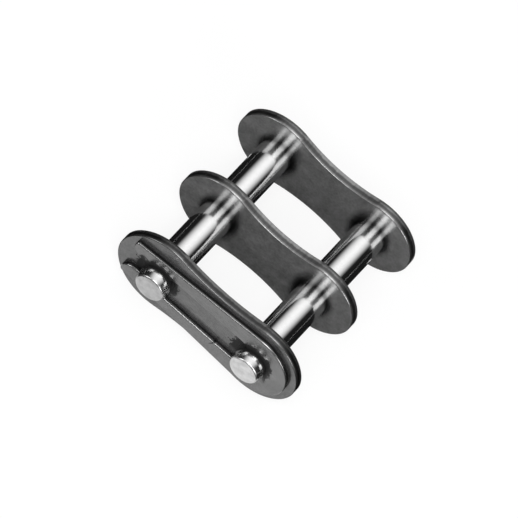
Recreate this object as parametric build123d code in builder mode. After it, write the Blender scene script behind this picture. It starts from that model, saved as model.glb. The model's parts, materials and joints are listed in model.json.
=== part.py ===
from build123d import *
import math
import os

# Connecting link of a double-strand roller chain, in millimetres.
# X runs along the chain's pitch, Y runs along the pins towards their riveted ends,
# and Z is up. The link stands on the lower edges of its plates, centred on the origin.

# ---- chain ----
pitch = 12.70
strand_spacing = 10.18  # from one plate's middle to the next
pin_dia = 3.76

# ---- rear and middle plates ----
link_plate_height = 9.92  # across a round end
link_plate_waist = 7.83  # across the narrow middle
link_plate_thickness = 1.10

# ---- cover plate ----
cover_height = 10.58
cover_waist = 9.18
cover_thickness = 1.00
cover_hole_clearance = 0.03  # radial, a slip fit on the pins

plate_edge_break = 0.10  # as the tumbling barrel leaves it

# ---- riveted pin ends, behind the rear plate ----
rivet_stand = 0.45
rivet_head_dia = 4.15
rivet_land_dia = 2.65

# ---- free pin ends, in front of the cover plate ----
pin_end_stand = 1.95
pin_point_length = 0.80  # of the taper that leads a plate onto the pin
pin_point_dia = 3.30
pin_point_round = 0.25
groove_dia = 2.90
groove_clearance = 0.03  # round the clip and in front of it

# ---- spring clip ----
clip_thickness = 0.55
clip_head_radius = 4.35
clip_taper = 4.75  # degrees, each side
clip_edge_break = 0.11
clip_slot_width = 3.86
clip_slot_setback = 1.10  # from a pin's axis to the wide part of the slot
clip_slot_corner = 0.85
clip_throat_width = 2.40
clip_throat_reach = 2.30  # from the pin's axis to the throat's outer end
clip_tip_reach = 3.85  # from the pin's axis to the tips
clip_tip_width = 0.84  # of one leg's tip, beside the mouth
clip_tip_round = 0.34

# ---- places along and across the pins ----
half_pitch = pitch / 2
axis_height = cover_height / 2
pin_radius = pin_dia / 2
groove_radius = groove_dia / 2
seat_radius = groove_radius + groove_clearance

rear_reach = strand_spacing + link_plate_thickness / 2 + rivet_stand
front_reach = strand_spacing + cover_thickness / 2 + pin_end_stand
middle_y = (front_reach - rear_reach) / 2
rear_y = middle_y + strand_spacing
cover_y = middle_y - strand_spacing

rear_face_y = rear_y + link_plate_thickness / 2
pin_rear_y = rear_face_y + rivet_stand
cover_face_y = cover_y - cover_thickness / 2
clip_face_y = cover_face_y - clip_thickness
groove_wall_y = clip_face_y - groove_clearance
pin_front_y = cover_face_y - pin_end_stand


def facing_front(y):
    """Upright plane at y, centred between the pins' axes and facing the front."""
    return Plane(origin=(0, y, axis_height), x_dir=(1, 0, 0), z_dir=(0, -1, 0))


def along_pin(x):
    """Level plane through one pin's axis: across the pin, then along it."""
    return Plane(origin=(x, 0, axis_height), x_dir=(1, 0, 0), z_dir=(0, 0, 1))


def plate_outline(height, waist, hole_radius):
    """A round lobe about each pin, drawn in at the top and the bottom by an arc that touches both."""
    lobe_radius = height / 2
    half_waist = waist / 2
    waist_radius = (half_pitch**2 + half_waist**2 - lobe_radius**2) / (height - waist)
    waist_centre = Vector(0, half_waist + waist_radius)
    lobe_centre = Vector(half_pitch, 0)
    touch = lobe_centre + (waist_centre - lobe_centre).normalized() * lobe_radius
    with BuildSketch() as outline:
        with BuildLine():
            top = ThreePointArc((-touch.X, touch.Y), (0, half_waist), (touch.X, touch.Y))
            lobe = ThreePointArc(top @ 1, (half_pitch + lobe_radius, 0), (touch.X, -touch.Y))
            mirror(top, about=Plane.XZ)
            mirror(lobe, about=Plane.YZ)
        make_face()
        with Locations((-half_pitch, 0), (half_pitch, 0)):
            Circle(hole_radius, mode=Mode.SUBTRACT)
    return outline.sketch


def clip_outline():
    """A round head about the right pin, and two tapering legs that snap shut behind the left one."""
    tip_x = -half_pitch - clip_tip_reach
    throat_x = -half_pitch - clip_throat_reach
    throat_half = clip_throat_width / 2
    taper = math.radians(clip_taper)
    shoulder = Vector(half_pitch - clip_head_radius * math.sin(taper), clip_head_radius * math.cos(taper))
    tip_half = shoulder.Y - (shoulder.X - tip_x) * math.tan(taper)
    mouth_half = tip_half - clip_tip_width
    with BuildSketch() as outline:
        with BuildLine():
            crown = (half_pitch + clip_head_radius, 0)
            head = ThreePointArc((shoulder.X, -shoulder.Y), crown, (shoulder.X, shoulder.Y))
            Polyline(head @ 1, (tip_x, tip_half), (tip_x, -tip_half), head @ 0)
        make_face()
        # a seat about each pin, with a way between them
        SlotCenterToCenter(pitch, 2 * seat_radius, mode=Mode.SUBTRACT)
        # the wide stretch that lets the legs spring
        slot_length = pitch - 2 * clip_slot_setback
        RectangleRounded(slot_length, clip_slot_width, clip_slot_corner, mode=Mode.SUBTRACT)
        # the throat behind the left pin, and the flared mouth that leads the pin into it
        with BuildLine():
            flare = TangentArc((throat_x, throat_half), (tip_x, mouth_half), tangent=(-1, 0))
            Line((-half_pitch, throat_half), flare @ 0)
            mirror(about=Plane.XZ)
            Line((-half_pitch, throat_half), (-half_pitch, -throat_half))
            Line(flare @ 1, (tip_x, -mouth_half))
        make_face(mode=Mode.SUBTRACT)
        tips = outline.vertices().group_by(Axis.X)[0]
        fillet(tips, clip_tip_round)
    return outline.sketch


def pin_profile():
    """Half of a pin's length section, from its free end round to its riveted end."""
    with BuildSketch() as section:
        with BuildLine():
            shank = Polyline(
                (0, pin_front_y),
                (pin_point_dia / 2, pin_front_y),
                (pin_radius, pin_front_y + pin_point_length),
                (pin_radius, groove_wall_y),
                (groove_radius, groove_wall_y),
                (groove_radius, cover_face_y),
                (pin_radius, cover_face_y),
                (pin_radius, rear_face_y),
                (rivet_head_dia / 2, rear_face_y),
            )
            peen = TangentArc((rivet_land_dia / 2, pin_rear_y), shank @ 1, tangent=(1, 0))
            Polyline(peen @ 0, (0, pin_rear_y), shank @ 0)
        make_face()
        front_corners = section.vertices().group_by(Axis.Y)[0]
        fillet(front_corners.sort_by(Axis.X)[-1], pin_point_round)
    return section.sketch


def rims(part):
    """The outer edges of a flat part's two faces."""
    return [edge for face in part.faces().filter_by(Axis.Y) for edge in face.outer_wire().edges()]


# ---- plates ----
link_plate = plate_outline(link_plate_height, link_plate_waist, pin_radius)

with BuildPart() as rear_plate:
    with BuildSketch(facing_front(rear_y)):
        add(link_plate)
    extrude(amount=link_plate_thickness / 2, both=True)
    chamfer(rims(rear_plate), plate_edge_break)

with BuildPart() as middle_plate:
    with BuildSketch(facing_front(middle_y)):
        add(link_plate)
    extrude(amount=link_plate_thickness / 2, both=True)
    chamfer(rims(middle_plate), plate_edge_break)

with BuildPart() as cover_plate:
    with BuildSketch(facing_front(cover_y)):
        add(plate_outline(cover_height, cover_waist, pin_radius + cover_hole_clearance))
    extrude(amount=cover_thickness / 2, both=True)
    chamfer(rims(cover_plate), plate_edge_break)

# ---- spring clip, flat against the cover plate ----
with BuildPart() as spring_clip:
    with BuildSketch(facing_front(clip_face_y)):
        add(clip_outline())
    extrude(amount=-clip_thickness)
    chamfer(rims(spring_clip), clip_edge_break)

# ---- pins ----
with BuildPart() as left_pin:
    with BuildSketch(along_pin(-half_pitch)):
        add(pin_profile())
    revolve(axis=Axis((-half_pitch, 0, axis_height), (0, 1, 0)))

with BuildPart() as right_pin:
    with BuildSketch(along_pin(half_pitch)):
        add(pin_profile())
    revolve(axis=Axis((half_pitch, 0, axis_height), (0, 1, 0)))

# ---- one file for each piece ----
rear_plate.part.label = "rear_plate"
middle_plate.part.label = "middle_plate"
cover_plate.part.label = "cover_plate"
spring_clip.part.label = "spring_clip"
left_pin.part.label = "left_pin"
right_pin.part.label = "right_pin"

os.makedirs("parts", exist_ok=True)
export_step(rear_plate.part, "parts/rear_plate.step")
export_step(middle_plate.part, "parts/middle_plate.step")
export_step(cover_plate.part, "parts/cover_plate.step")
export_step(spring_clip.part, "parts/spring_clip.step")
export_step(left_pin.part, "parts/left_pin.step")
export_step(right_pin.part, "parts/right_pin.step")
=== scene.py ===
import json
import math

import bmesh
import bpy
from mathutils import Matrix, Vector


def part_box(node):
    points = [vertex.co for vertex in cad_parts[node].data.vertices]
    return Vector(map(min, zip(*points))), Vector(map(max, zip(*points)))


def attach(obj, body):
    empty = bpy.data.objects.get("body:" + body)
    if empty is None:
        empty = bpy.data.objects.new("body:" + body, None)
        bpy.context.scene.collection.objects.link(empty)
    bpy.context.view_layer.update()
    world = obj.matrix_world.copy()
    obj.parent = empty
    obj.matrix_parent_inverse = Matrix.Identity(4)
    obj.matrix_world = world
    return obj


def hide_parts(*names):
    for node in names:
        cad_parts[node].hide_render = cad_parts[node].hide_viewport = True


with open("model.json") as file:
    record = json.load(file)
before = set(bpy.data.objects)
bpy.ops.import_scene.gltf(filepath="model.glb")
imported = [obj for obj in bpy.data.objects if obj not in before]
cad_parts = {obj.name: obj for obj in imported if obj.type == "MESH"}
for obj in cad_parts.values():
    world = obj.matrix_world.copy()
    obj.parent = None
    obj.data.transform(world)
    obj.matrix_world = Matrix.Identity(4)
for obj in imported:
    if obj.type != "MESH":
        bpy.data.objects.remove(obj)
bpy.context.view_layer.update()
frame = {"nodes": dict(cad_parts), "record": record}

# Connecting link of a double-strand roller chain, standing on the lower edges of its plates.
# Everything is in metres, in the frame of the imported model: X along the pitch, Y along the pins
# towards their riveted ends, Z up. Only the patterns in the materials are worked out in millimetres.

MM = 0.001
weld_reach = 0.0005 * MM  # corners of neighbouring triangles that lie this close are one

# ---------------------------------------------------------------- places read from the frame
mounts = {mount["name"]: mount for mount in frame["record"]["mounts"]}
pin_mounts = {"left_pin": mounts["left_pin_end"], "right_pin": mounts["right_pin_end"]}
pin_radius = pin_mounts["left_pin"]["dims"]["r_mm"] * MM
half_pitch = pin_mounts["right_pin"]["pos_m"][0]
axis_height = pin_mounts["right_pin"]["pos_m"][2]
middle_y = sum(corner.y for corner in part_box("middle_plate")) / 2
middle = Vector((0, middle_y, axis_height))

pin_x = half_pitch / MM  # of the right pin's axis, in millimetres, as the patterns are
pin_z = axis_height / MM


# ---------------------------------------------------------------- node graphs
class Signal:
    """An output socket whose arithmetic adds Math nodes to its graph."""

    def __init__(self, graph, socket):
        self.graph = graph
        self.socket = socket

    def math(self, operation, *operands):
        return self.graph.node("ShaderNodeMath", {"operation": operation}, dict(enumerate(operands)))

    def __add__(self, other):
        return self.math("ADD", self, other)

    def __radd__(self, other):
        return self.math("ADD", other, self)

    def __sub__(self, other):
        return self.math("SUBTRACT", self, other)

    def __rsub__(self, other):
        return self.math("SUBTRACT", other, self)

    def __mul__(self, other):
        return self.math("MULTIPLY", self, other)

    def __rmul__(self, other):
        return self.math("MULTIPLY", other, self)

    def __truediv__(self, other):
        return self.math("DIVIDE", self, other)

    def __abs__(self):
        return self.math("ABSOLUTE", self)

    def root(self):
        return self.math("SQRT", self)

    def cosine(self):
        return self.math("COSINE", self)

    def rise(self, start, end):
        """0 before start and 1 after end, with a smooth step between; start may lie after end."""
        settings = {"interpolation_type": "SMOOTHSTEP"}
        values = {"Value": self, "From Min": start, "From Max": end}
        return self.graph.node("ShaderNodeMapRange", settings, values)


def flat_grey(tone):
    """A colour that is the same all over a surface."""
    return (tone, tone, tone, 1)


class Graph:
    """A node tree, of a material, a lamp or a Geometry Nodes group."""

    def __init__(self, tree):
        self.tree = tree
        tree.nodes.clear()

    def node(self, kind, settings=None, values=None, output=0):
        made = self.tree.nodes.new(kind)
        for name, setting in (settings or {}).items():
            setattr(made, name, setting)
        for key, value in (values or {}).items():
            if isinstance(value, Signal):
                self.tree.links.new(value.socket, made.inputs[key])
            else:
                made.inputs[key].default_value = value
        return Signal(self, made.outputs[output])

    def outputs(self, signal):
        """All the outputs of the node that a signal comes from."""
        return {socket.name: Signal(self, socket) for socket in signal.socket.node.outputs}

    def place(self):
        """Object coordinates, in millimetres."""
        coordinates = self.node("ShaderNodeTexCoord", output="Object")
        return self.node("ShaderNodeVectorMath", {"operation": "SCALE"}, {0: coordinates, "Scale": 1 / MM})

    def frontward(self):
        """How far the surface faces the front: 0 on a plate's wall, 1 on its front face, -1 on its back."""
        return 0 - self.axes(self.node("ShaderNodeTexCoord", output="Normal"))["Y"]

    def axes(self, vector):
        return self.outputs(self.node("ShaderNodeSeparateXYZ", values={0: vector}))

    def stretched(self, place, factors):
        return self.node("ShaderNodeVectorMath", {"operation": "MULTIPLY"}, {0: place, 1: factors})

    def noise(self, place, scale, detail=2.0, roughness=0.5):
        """Fractal noise about 0; scale is in lumps per millimetre."""
        values = {"Vector": place, "Scale": scale, "Detail": detail, "Roughness": roughness}
        return self.node("ShaderNodeTexNoise", values=values) - 0.5

    def blend(self, factor, first, second):
        """first where factor is 0, second where it is 1."""
        values = {0: factor, 2: first, 3: second}
        return self.node("ShaderNodeMix", {"data_type": "FLOAT", "clamp_factor": True}, values)

    def grey(self, tone):
        return self.node("ShaderNodeCombineColor", values={0: tone, 1: tone, 2: tone})

    def bump(self, height, depth):
        """A height of 1 stands for depth, in metres."""
        return self.node("ShaderNodeBump", values={"Height": height, "Distance": depth})

    def principled(self, **values):
        names = {name.replace("_", " "): value for name, value in values.items()}
        return self.node("ShaderNodeBsdfPrincipled", values=names)

    def matt(self, tone):
        return self.node("ShaderNodeBsdfDiffuse", values={"Color": flat_grey(tone)})

    def mixed(self, factor, first, second):
        """The first shader where factor is 0, the second where it is 1."""
        return self.node("ShaderNodeMixShader", values={0: factor, 1: first, 2: second})

    def under_painted_shade(self, steel, shade_amount):
        """The steel, under a dark matt coat where shade_amount is 1: painted shade."""
        # The dark matt coat paints shade.
        shade_coat = self.principled(Base_Color=flat_grey(0.012), Roughness=0.55, Specular_IOR_Level=0.15)
        return self.mixed(shade_amount, steel, shade_coat)

    def output(self, shader, kind="ShaderNodeOutputMaterial"):
        self.tree.links.new(shader.socket, self.tree.nodes.new(kind).inputs["Surface"])


def material_graph(name):
    material = bpy.data.materials.new(name)
    material.use_nodes = True
    return material, Graph(material.node_tree)


# ---------------------------------------------------------------- where the marks lie
def radius(across, above):
    return (across * across + above * above).root()


def pin_distance(graph, place):
    """Distance from the nearer pin's axis."""
    axes = graph.axes(place)
    return radius(abs(axes["X"]) - pin_x, axes["Z"] - pin_z)


def pin_shade_oval(graph, place):
    """1 in an upright oval round each pin, where the front faces are painted darker as shade and the pins'
    dark reflection, over barer metal.
    """
    oval_x = 6.05  # just inside the pin's axis
    slimness = 0.6  # an oval's width over its height
    edge, core = 2.8, 1.6
    axes = graph.axes(place)
    return radius(abs(axes["X"]) - oval_x, slimness * (axes["Z"] - pin_z)).rise(edge, core)


def pin_shadow_patches(graph, place):
    """Painted shadow: ragged dark patches beside the pins, more of them on their left, where the pins'
    shadows fall.
    """
    leftward = 0.3
    raggedness = 1.6
    edge, core = 2.95, 2.5
    foot, top = pin_z - 1.8, pin_z - 0.6  # the patches fade out below the axis
    beside = graph.node("ShaderNodeVectorMath", {"operation": "ADD"}, {0: place, 1: (leftward, 0, 0)})
    coarse = raggedness * graph.noise(place, 0.9, 3.0)
    fine = raggedness * graph.noise(place, 3.0, 3.0)
    ragged = pin_distance(graph, beside) + coarse + fine
    return ragged.rise(edge, core) * graph.axes(place)["Z"].rise(foot, top)


def depth_in(node, graph, place):
    """0 on a flat part's front face and 1 on its back."""
    low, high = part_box(node)
    return (graph.axes(place)["Y"] - low.y / MM) / ((high.y - low.y) / MM)


def face_and_rim(frontward):
    """Masks of a flat part's two faces, and of the broken edges between them and its wall."""
    facing = abs(frontward)
    return facing.rise(0.75, 0.97), facing.rise(0.12, 0.45) * (1 - facing.rise(0.80, 0.97))


# ---------------------------------------------------------------- finishes
flat_gloss = 0.8  # specular level of the plates and the clip
flat_relief = 0.008 * MM
edge_metal = 0.95  # share of bare metal on the walls and rims


def plate_steel(name, node, open_face, shaded_face, rim, wall, pin_shadowed=False):
    """Heat-treated blanked plate: satin faces, a painted highlight along the front of the wall where a
    rounded edge would catch the light, and a drawn wall that breaks off rough.

    The open face and the ovals of painted shade round the pins are each given as a tone and a share of bare
    metal."""
    material, graph = material_graph(name)
    place = graph.place()
    frontward = graph.frontward()
    on_face, on_rim = face_and_rim(frontward)
    depth = depth_in(node, graph, place)

    mottle = graph.noise(place, 0.7, 3.0)
    grain = graph.noise(place, 3.5, 4.0, 0.6)
    drag = graph.noise(graph.stretched(place, (5.0, 0.4, 5.0)), 1.0, 3.0)
    ragged = depth + 0.25 * graph.noise(graph.stretched(place, (2.0, 0.2, 2.0)), 1.0, 2.0)
    broken = ragged.rise(0.52, 0.72)
    # Painted highlight: the front of the wall is lighter, as a rounded edge would catch the light.
    painted_edge_highlight = depth.rise(0.32, 0.12)
    # Painted shade: the ovals round the pins are darker, for the pins' shade and dark reflection.
    oval_shade = pin_shade_oval(graph, place) * frontward.rise(0.5, 0.9)
    # Painted contact shade: the face darkens in a ring close round each pin.
    pin_contact_shade = (pin_distance(graph, place) + 0.3 * mottle).rise(2.8, 1.9)

    tone, bare = (graph.blend(oval_shade, *ends) for ends in zip(open_face, shaded_face))
    face = tone * (1 + 0.8 * mottle + 0.8 * grain) * (1 - 0.8 * pin_contact_shade)
    wall = wall * (1 + 0.8 * drag + 0.35 * mottle) * (1 + 2.6 * broken + 1.4 * painted_edge_highlight)
    # The rims are burnished metal, lighter still as a painted highlight of the broken edges.
    edge = graph.blend(on_rim, wall, rim * (1 + 0.8 * drag))
    relief = graph.blend(on_face, drag * (0.6 + 0.8 * broken), 0.12 * grain)
    steel = graph.principled(
        Base_Color=graph.grey(graph.blend(on_face, edge, face)),
        Metallic=graph.blend(on_face, edge_metal, bare),
        Roughness=graph.blend(on_face, 0.28 + 0.12 * broken, 0.24 + 0.10 * mottle),
        Specular_IOR_Level=flat_gloss,
        Normal=graph.bump(relief, flat_relief),
    )
    # Where asked, the face carries painted shadow beside the pins.
    graph.output(graph.under_painted_shade(steel, pin_shadow_patches(graph, place) * on_face) if pin_shadowed else steel)
    return material


def nick_in_leg(axes):
    """1 in a short slanting nick in the clip's lower leg."""
    nick_x, nick_drop, slant = 1.9, 2.3, 0.55
    middle_drop, length = 2.15, 4
    along = axes["X"] - nick_x - slant * (axes["Z"] - (pin_z - nick_drop))
    below = (axes["Z"] - (pin_z - middle_drop)) / length
    return radius(along, below).rise(0.16, 0.05)


def clip_steel(name, node, bare, face, rim, wall):
    """Spring steel strip, with the brushing along the legs and a nick in the lower one."""
    material, graph = material_graph(name)
    place = graph.place()
    on_face, on_rim = face_and_rim(graph.frontward())
    # Painted highlight: the front of the clip's wall is lighter, as a rounded edge would catch the light.
    painted_edge_highlight = depth_in(node, graph, place).rise(0.50, 0.20)
    mottle = graph.noise(place, 0.7, 3.0)
    grain = graph.noise(place, 3.5, 4.0, 0.6)
    brushing = graph.noise(graph.stretched(place, (0.6, 6.0, 6.0)), 1.0, 4.0)
    nick = nick_in_leg(graph.axes(place))
    face = face * (1 + 0.5 * mottle + 0.5 * grain + 0.4 * brushing)
    # The clip's rims are burnished metal, lighter still as a painted highlight.
    edge = graph.blend(on_rim, wall * (1 + 2.5 * painted_edge_highlight), rim * (1 + 0.8 * brushing))
    steel = graph.principled(
        # The nick is a dent in the bump; its darkened colour is painted shade in the dent.
        Base_Color=graph.grey(graph.blend(on_face, edge, face) * (1 - 0.75 * nick)),
        Metallic=graph.blend(on_face, edge_metal, bare),
        Roughness=0.24 + 0.10 * mottle + 0.06 * brushing,
        Specular_IOR_Level=flat_gloss,
        Normal=graph.bump(0.12 * grain + 0.12 * brushing - 4 * nick, flat_relief),
    )
    # Painted shadow beside the pins, over the clip.
    graph.output(graph.under_painted_shade(steel, pin_shadow_patches(graph, place)))
    return material


def polished_steel(name, tone, end_tone):
    """Ground and polished pin: fine rings round it, duller turned end faces, and a collar of painted shade
    where it comes out of the clip.
    """
    shade_collar_front = (-11.0, -10.7)  # a dark collar of painted shade lies between these places along Y, where the pin comes out of the clip
    shade_collar_back = (-9.0, -9.6)
    rings_per_mm = 9
    material, graph = material_graph(name)
    place = graph.place()
    on_end = abs(graph.frontward()).rise(0.10, 0.50)
    rings = graph.noise(graph.stretched(place, (0.3, 9.0, 0.3)), 1.0, 4.0)
    scuffs = graph.noise(place, 2.5, 4.0, 0.6)
    blotches = graph.noise(place, 1.1, 2.0)
    outward = graph.node("ShaderNodeCombineXYZ", values={0: pin_distance(graph, place) * rings_per_mm})
    turned = graph.noise(outward, 1.0, 3.0)
    end = end_tone * (1 + 0.8 * blotches + 0.3 * turned)
    along = graph.axes(place)["Y"] + 0.35 * graph.noise(place, 1.6, 3.0)
    steel = graph.principled(
        Base_Color=graph.grey(graph.blend(on_end, tone * (1 + 0.10 * scuffs), end)),
        Metallic=1.0,
        Roughness=graph.blend(on_end, 0.13 + 0.06 * rings, 0.34 + 0.2 * scuffs),
        Normal=graph.bump(graph.blend(on_end, rings, 2 * turned), 0.0015 * MM),
    )
    # Painted shade round the pin where it comes out of the clip.
    graph.output(graph.under_painted_shade(steel, along.rise(*shade_collar_front) * along.rise(*shade_collar_back)))
    return material


finishes = {
    # The second pair of numbers is the darker tone of painted shade round the pins, and its share of bare
    # metal.
    "rear_plate": plate_steel("dark_rear_plate", "rear_plate", (0.16, 0.35), (0.07, 0.75), 0.30, 0.085),
    "middle_plate": plate_steel("dark_middle_plate", "middle_plate", (0.16, 0.35), (0.07, 0.75), 0.30, 0.085),
    # The cover plate also carries painted shadow beside the pins.
    "cover_plate": plate_steel(
        "dark_cover_plate", "cover_plate", (0.12, 0.75), (0.12, 0.75), 0.16, 0.045, pin_shadowed=True
    ),
    "spring_clip": clip_steel("grey_spring_clip", "spring_clip", 0.75, 0.15, 0.25, 0.05),
}
pin_finishes = {
    # Both pins have one finish; the left pin's end faces are a darker copy of it: painted shade.
    "left_pin": polished_steel("polished_left_pin", 0.72, 0.45),
    "right_pin": polished_steel("polished_right_pin", 0.72, 0.60),
}


# ---------------------------------------------------------------- plates and clip
def dress(node):
    """Joins a flat part's loose triangles and merges its level ones, so that its faces shade evenly."""
    part = frame["nodes"][node]
    weld = part.modifiers.new("weld", "WELD")
    weld.merge_threshold = weld_reach
    merge = part.modifiers.new("merge", "DECIMATE")
    merge.decimate_type = "DISSOLVE"
    merge.angle_limit = math.radians(0.5)  # level faces alone
    crisp = part.modifiers.new("crisp", "EDGE_SPLIT")
    crisp.split_angle = math.radians(60)  # above the 45 degrees of a broken edge
    soften = part.modifiers.new("soften", "WEIGHTED_NORMAL")
    soften.mode = "FACE_AREA"
    soften.weight = 100
    for polygon in part.data.polygons:
        polygon.use_smooth = True
    part.data.materials.clear()
    part.data.materials.append(finishes[node])


for node in finishes:
    dress(node)


# ---------------------------------------------------------------- pins
pin_segments = 128
pin_crisp_angle = math.radians(28)


def half_section(node):
    """(radius, reach) of a pin's outline from the axis round to the axis, where a level plane cuts it."""
    on_axis = 0.001  # millimetres
    least_bend = math.radians(2)
    axis = Vector(pin_mounts[node]["pos_m"])
    solid = bmesh.new()
    solid.from_mesh(frame["nodes"][node].data)
    bmesh.ops.remove_doubles(solid, verts=solid.verts, dist=weld_reach)
    everything = solid.verts[:] + solid.edges[:] + solid.faces[:]
    cut = bmesh.ops.bisect_plane(solid, geom=everything, dist=0.0002 * MM, plane_co=axis, plane_no=(0, 0, 1))
    neighbours = {}
    for edge in cut["geom_cut"]:
        if isinstance(edge, bmesh.types.BMEdge):
            ends = [(round((v.co.x - axis.x) / MM, 4), round(v.co.y / MM, 4)) for v in edge.verts]
            if min(ends)[0] > on_axis:
                neighbours.setdefault(ends[0], []).append(ends[1])
                neighbours.setdefault(ends[1], []).append(ends[0])
    solid.free()
    outline = [min(neighbours, key=lambda end: (end[1], end[0]))]
    while len(outline) < len(neighbours):
        outline.append(next(end for end in neighbours[outline[-1]] if end not in outline))
    points = [Vector(end) * MM for end in [(0, outline[0][1])] + outline + [(0, outline[-1][1])]]
    triples = zip(points, points[1:], points[2:])
    corners = [here for before, here, after in triples if (here - before).angle(after - here) > least_bend]
    return points[:1] + corners + points[-1:]


def turning_group():
    """Geometry Nodes group that turns a half section (X radius, Y reach) about an axis along Y."""
    group = bpy.data.node_groups.new("turning", "GeometryNodeTree")
    sides = {}
    for name, kind in (
        ("Section", "NodeSocketGeometry"),
        ("Segments", "NodeSocketInt"),
        ("Axis", "NodeSocketVector"),
        ("Crisp Angle", "NodeSocketFloat"),
        ("Finish", "NodeSocketMaterial"),
    ):
        sides[name] = group.interface.new_socket(name, in_out="INPUT", socket_type=kind)
    group.interface.new_socket("Pin", in_out="OUTPUT", socket_type="NodeSocketGeometry")

    graph = Graph(group)
    inputs = graph.outputs(graph.node("NodeGroupInput"))
    at = graph.axes(graph.node("GeometryNodeInputPosition"))
    rim_place = graph.node("ShaderNodeCombineXYZ", values={"X": at["X"] - pin_radius, "Y": 0 - at["Y"]})
    section = graph.node(
        "GeometryNodeSetPosition",
        values={"Geometry": inputs["Section"], "Position": rim_place},
    )
    profile = graph.node("GeometryNodeMeshToCurve", values={"Mesh": section})
    round_path = graph.node(
        "GeometryNodeCurvePrimitiveCircle",
        values={"Resolution": inputs["Segments"], "Radius": pin_radius},
    )
    swept = graph.node("GeometryNodeCurveToMesh", values={"Curve": round_path, "Profile Curve": profile})
    outward = graph.node("GeometryNodeFlipFaces", values={"Mesh": swept})
    closed = graph.node("GeometryNodeMergeByDistance", values={"Geometry": outward, "Distance": weld_reach})
    placed = graph.node(
        "GeometryNodeTransform",
        values={"Geometry": closed, "Translation": inputs["Axis"], "Rotation": (-math.pi / 2, 0, 0)},
    )
    smooth = graph.node("GeometryNodeSetShadeSmooth", values={"Geometry": placed, "Shade Smooth": True})
    angle = graph.node("GeometryNodeInputMeshEdgeAngle")
    crisp = graph.node(
        "FunctionNodeCompare",
        {"operation": "GREATER_THAN"},
        {0: angle, 1: inputs["Crisp Angle"]},
    )
    edged = graph.node(
        "GeometryNodeSetShadeSmooth",
        {"domain": "EDGE"},
        {"Geometry": smooth, "Selection": crisp, "Shade Smooth": False},
    )
    real = graph.node("GeometryNodeRealizeInstances", values={"Geometry": edged})
    finished = graph.node("GeometryNodeSetMaterial", values={"Geometry": real, "Material": inputs["Finish"]})
    group_output = group.nodes.new("NodeGroupOutput")
    group.links.new(finished.socket, group_output.inputs["Pin"])
    return group, {name: side.identifier for name, side in sides.items()}


def turned_pin(node, group, identifiers):
    """A round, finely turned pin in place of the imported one."""
    outline = half_section(node)
    steps = [(i, i + 1) for i in range(len(outline) - 1)]
    line = bpy.data.meshes.new("half_section")
    line.from_pydata([(r, reach, 0) for r, reach in outline], steps, [])
    blank = bpy.data.objects.new("blank", line)
    bpy.context.scene.collection.objects.link(blank)
    turning = blank.modifiers.new("turning", "NODES")
    turning.node_group = group
    place = pin_mounts[node]["pos_m"]
    turning[identifiers["Segments"]] = pin_segments
    turning[identifiers["Axis"]] = (place[0], 0.0, place[2])
    turning[identifiers["Crisp Angle"]] = pin_crisp_angle
    turning[identifiers["Finish"]] = pin_finishes[node]
    depsgraph = bpy.context.evaluated_depsgraph_get()
    mesh = bpy.data.meshes.new_from_object(blank.evaluated_get(depsgraph))
    mesh.name = "turned_" + node
    bpy.data.objects.remove(blank)
    pin = bpy.data.objects.new("turned_" + node, mesh)
    bpy.context.scene.collection.objects.link(pin)
    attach(pin, "root")
    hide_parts(node)


turning, turning_inputs = turning_group()
for node in pin_mounts:
    turned_pin(node, turning, turning_inputs)


# ---------------------------------------------------------------- floor and cards
def level_sheet(name, low, high, height, material):
    """A flat rectangle facing up."""
    mesh = bpy.data.meshes.new(name)
    corners = [(low[0], low[1]), (high[0], low[1]), (high[0], high[1]), (low[0], high[1])]
    mesh.from_pydata([(x, y, height) for x, y in corners], [], [(0, 1, 2, 3)])
    mesh.materials.append(material)
    sheet = bpy.data.objects.new(name, mesh)
    bpy.context.scene.collection.objects.link(sheet)
    return sheet


def floor_finish():
    material, graph = material_graph("pale_floor")
    rays = graph.outputs(graph.node("ShaderNodeLightPath"))
    seen = rays["Is Camera Ray"] + rays["Is Glossy Ray"] + rays["Is Transmission Ray"]
    white = graph.node("ShaderNodeEmission", values={"Color": flat_grey(1), "Strength": 1.0})
    graph.output(graph.mixed(0.85 * seen, graph.matt(0.92), white))
    return material


def black_card(name, low, high):
    """A flag laid just above the floor that only reflections see."""
    material, graph = material_graph(name)
    graph.output(graph.matt(0.01))
    card = level_sheet(name, low, high, 0.05 * MM, material)
    card.visible_camera = False
    card.visible_diffuse = False
    card.visible_shadow = False


floor_reach = 2
card_reach = 0.4
card_seam = 0.013  # from the middle to where the side cards begin, past the ends of the plates

level_sheet("floor", (-floor_reach, -floor_reach), (floor_reach, floor_reach), 0, floor_finish())
# The middle card is a dark sheet under the link that stands for the floor's shade there, seen only in
# reflections: painted shade.
black_card("floor_shade_card", (-card_seam, -0.009), (card_seam, 0.0117))
black_card("left_card", (-card_reach, -card_reach), (-card_seam, card_reach))
black_card("right_card", (card_seam, -card_reach), (card_reach, card_reach))


# ---------------------------------------------------------------- lamps
lamp_distance = 0.5


def towards(azimuth, elevation):
    """Unit vector from the link to an eye or a lamp; azimuth 0 is in front, and 90 is on the right."""
    a = math.radians(azimuth)
    e = math.radians(elevation)
    return Vector((math.sin(a) * math.cos(e), -math.cos(a) * math.cos(e), math.sin(e)))


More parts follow.
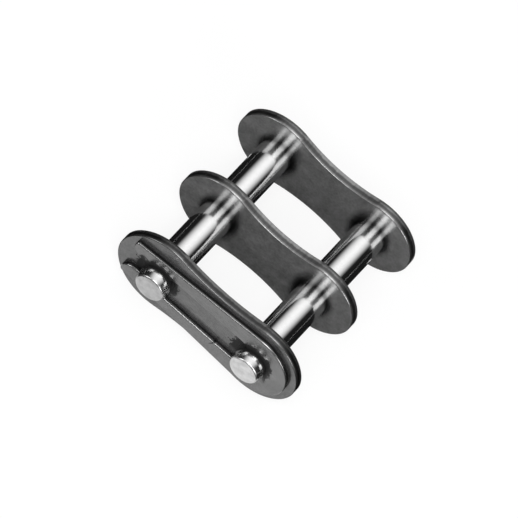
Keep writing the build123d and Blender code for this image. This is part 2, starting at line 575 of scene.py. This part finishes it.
def softbox(name, azimuth, elevation, width, height, brightness, fading=False):
    """An area lamp aimed at the link. brightness 1 looks white in a mirror."""
    lamp = bpy.data.lights.new(name, "AREA")
    lamp.shape = "RECTANGLE"
    lamp.size = width
    lamp.size_y = height
    lamp.energy = brightness * math.pi * width * height
    if fading:
        lamp.use_nodes = True
        graph = Graph(lamp.node_tree)
        across = graph.axes(graph.node("ShaderNodeNewGeometry", output="Parametric"))["X"]
        wave = ((across - 0.5) * 2 * math.pi).cosine()
        glow = graph.node("ShaderNodeEmission", values={"Strength": 0.5 + 0.5 * wave})
        graph.output(glow, "ShaderNodeOutputLight")
    box = bpy.data.objects.new(name, lamp)
    direction = towards(azimuth, elevation)
    box.location = middle + direction * lamp_distance
    box.rotation_mode = "QUATERNION"
    box.rotation_quaternion = direction.to_track_quat("Z", "Y")
    box.visible_camera = False
    bpy.context.scene.collection.objects.link(box)


softbox("overhead", 180, 75, 1.28, 0.80, 1.3, fading=True)
softbox("front_top", 10, 58, 0.23, 0.23, 9.0)
softbox("front_right", 57, 21, 0.23, 0.23, 7.0)
softbox("front_left", -54, 28, 0.23, 0.23, 4.8)

world = bpy.data.worlds.new("studio")
world.use_nodes = True
world.node_tree.nodes["Background"].inputs["Color"].default_value = flat_grey(0.012)
bpy.context.scene.world = world
bpy.context.scene.view_settings.view_transform = "Standard"


# ---------------------------------------------------------------- camera
eye_azimuth = 6.50
eye_elevation = 58.20
eye_roll = -35.66
eye_distance = 1.257
aim_right = 0.944 * MM
aim_up = 0.671 * MM
sensor_width = 36.0
picture_width = 518
picture_scale = 9838.0  # pixels per metre at the link's middle

turn = math.radians(eye_azimuth)
roll = math.radians(eye_roll)
back = towards(eye_azimuth, eye_elevation)
level = Vector((math.cos(turn), math.sin(turn), 0))
upright = back.cross(level)
right = level * math.cos(roll) - upright * math.sin(roll)
up = level * math.sin(roll) + upright * math.cos(roll)

camera_data = bpy.data.cameras.new("camera")
camera_data.sensor_width = sensor_width
camera_data.lens = picture_scale * eye_distance * sensor_width / picture_width
camera_data.clip_start = 0.1
camera_data.clip_end = 20
camera = bpy.data.objects.new("camera", camera_data)
stand = middle + back * eye_distance - right * aim_right - up * aim_up
camera.matrix_world = Matrix.Translation(stand) @ Matrix((right, up, back)).transposed().to_4x4()
bpy.context.scene.collection.objects.link(camera)
bpy.context.scene.camera = camera
